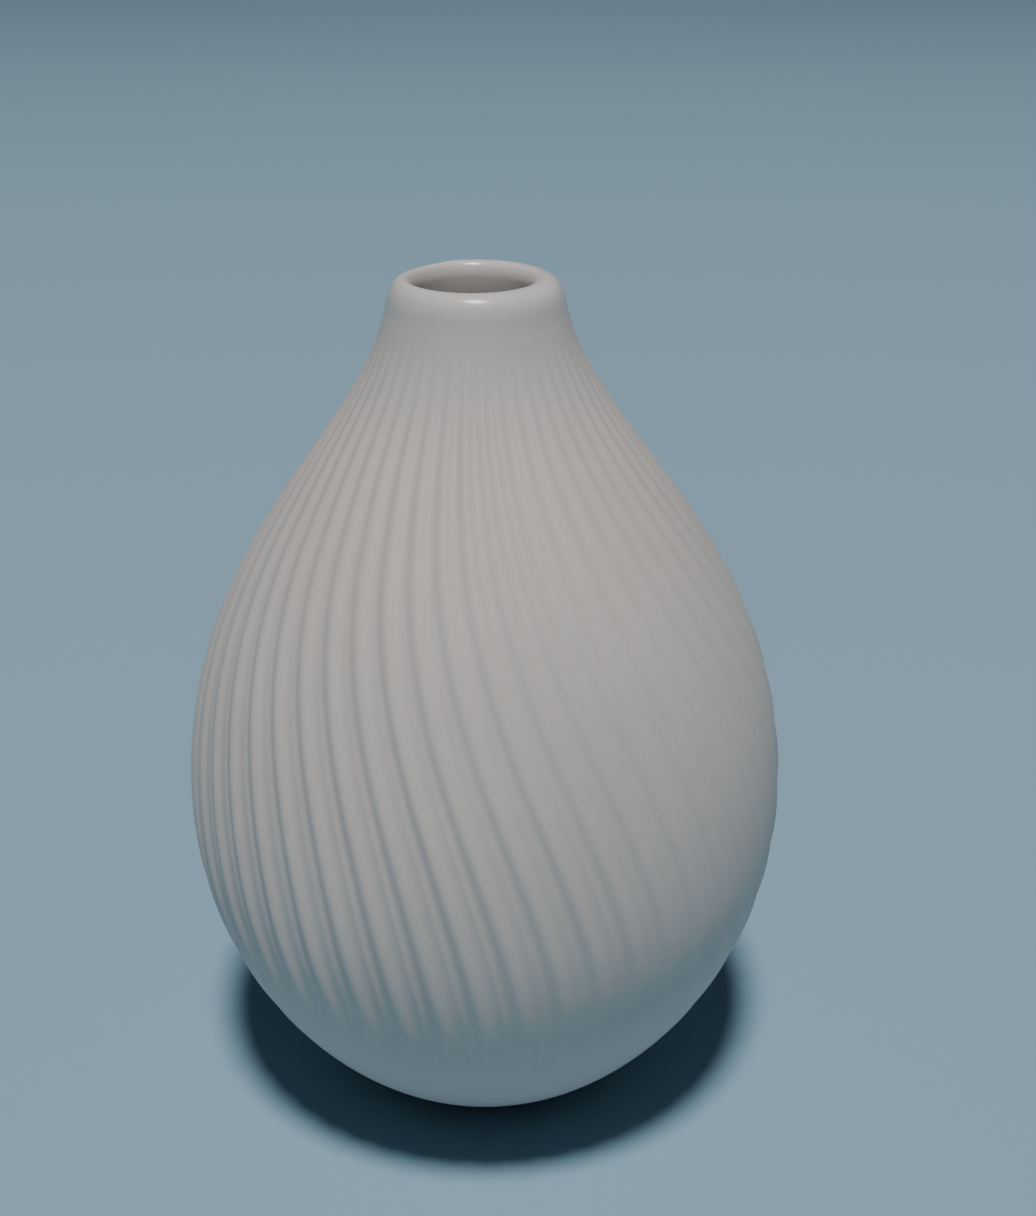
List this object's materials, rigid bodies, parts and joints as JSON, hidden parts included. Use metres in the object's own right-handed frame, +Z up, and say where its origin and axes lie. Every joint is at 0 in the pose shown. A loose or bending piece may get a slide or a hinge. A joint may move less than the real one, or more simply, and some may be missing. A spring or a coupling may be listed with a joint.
{
  "type": "bud vase",
  "caption": "Pear-shaped ceramic bud vase with twisted flutes, a smooth neck, a narrow round mouth and a glossy glazed lip and lining.",
  "frame": {"origin": "on the surface that the vase stands on, under the middle of the foot", "axes": "+Z up through the mouth; the object has no front, and the neck leans slightly towards -X"},
  "size_m": [0.1054, 0.1054, 0.15],
  "materials": {
    "bare_clay": "unglazed, fine grained",
    "matt_glaze": "matt white, silky",
    "gloss_glaze": "glossy off-white",
    "felt": "pressed felt, matt"
  },
  "bodies": {
    "root": {"clay_body": "bare_clay", "outer_glaze": "matt_glaze", "inner_glaze": "gloss_glaze", "base_felt": "felt"}
  },
  "joints": []
}
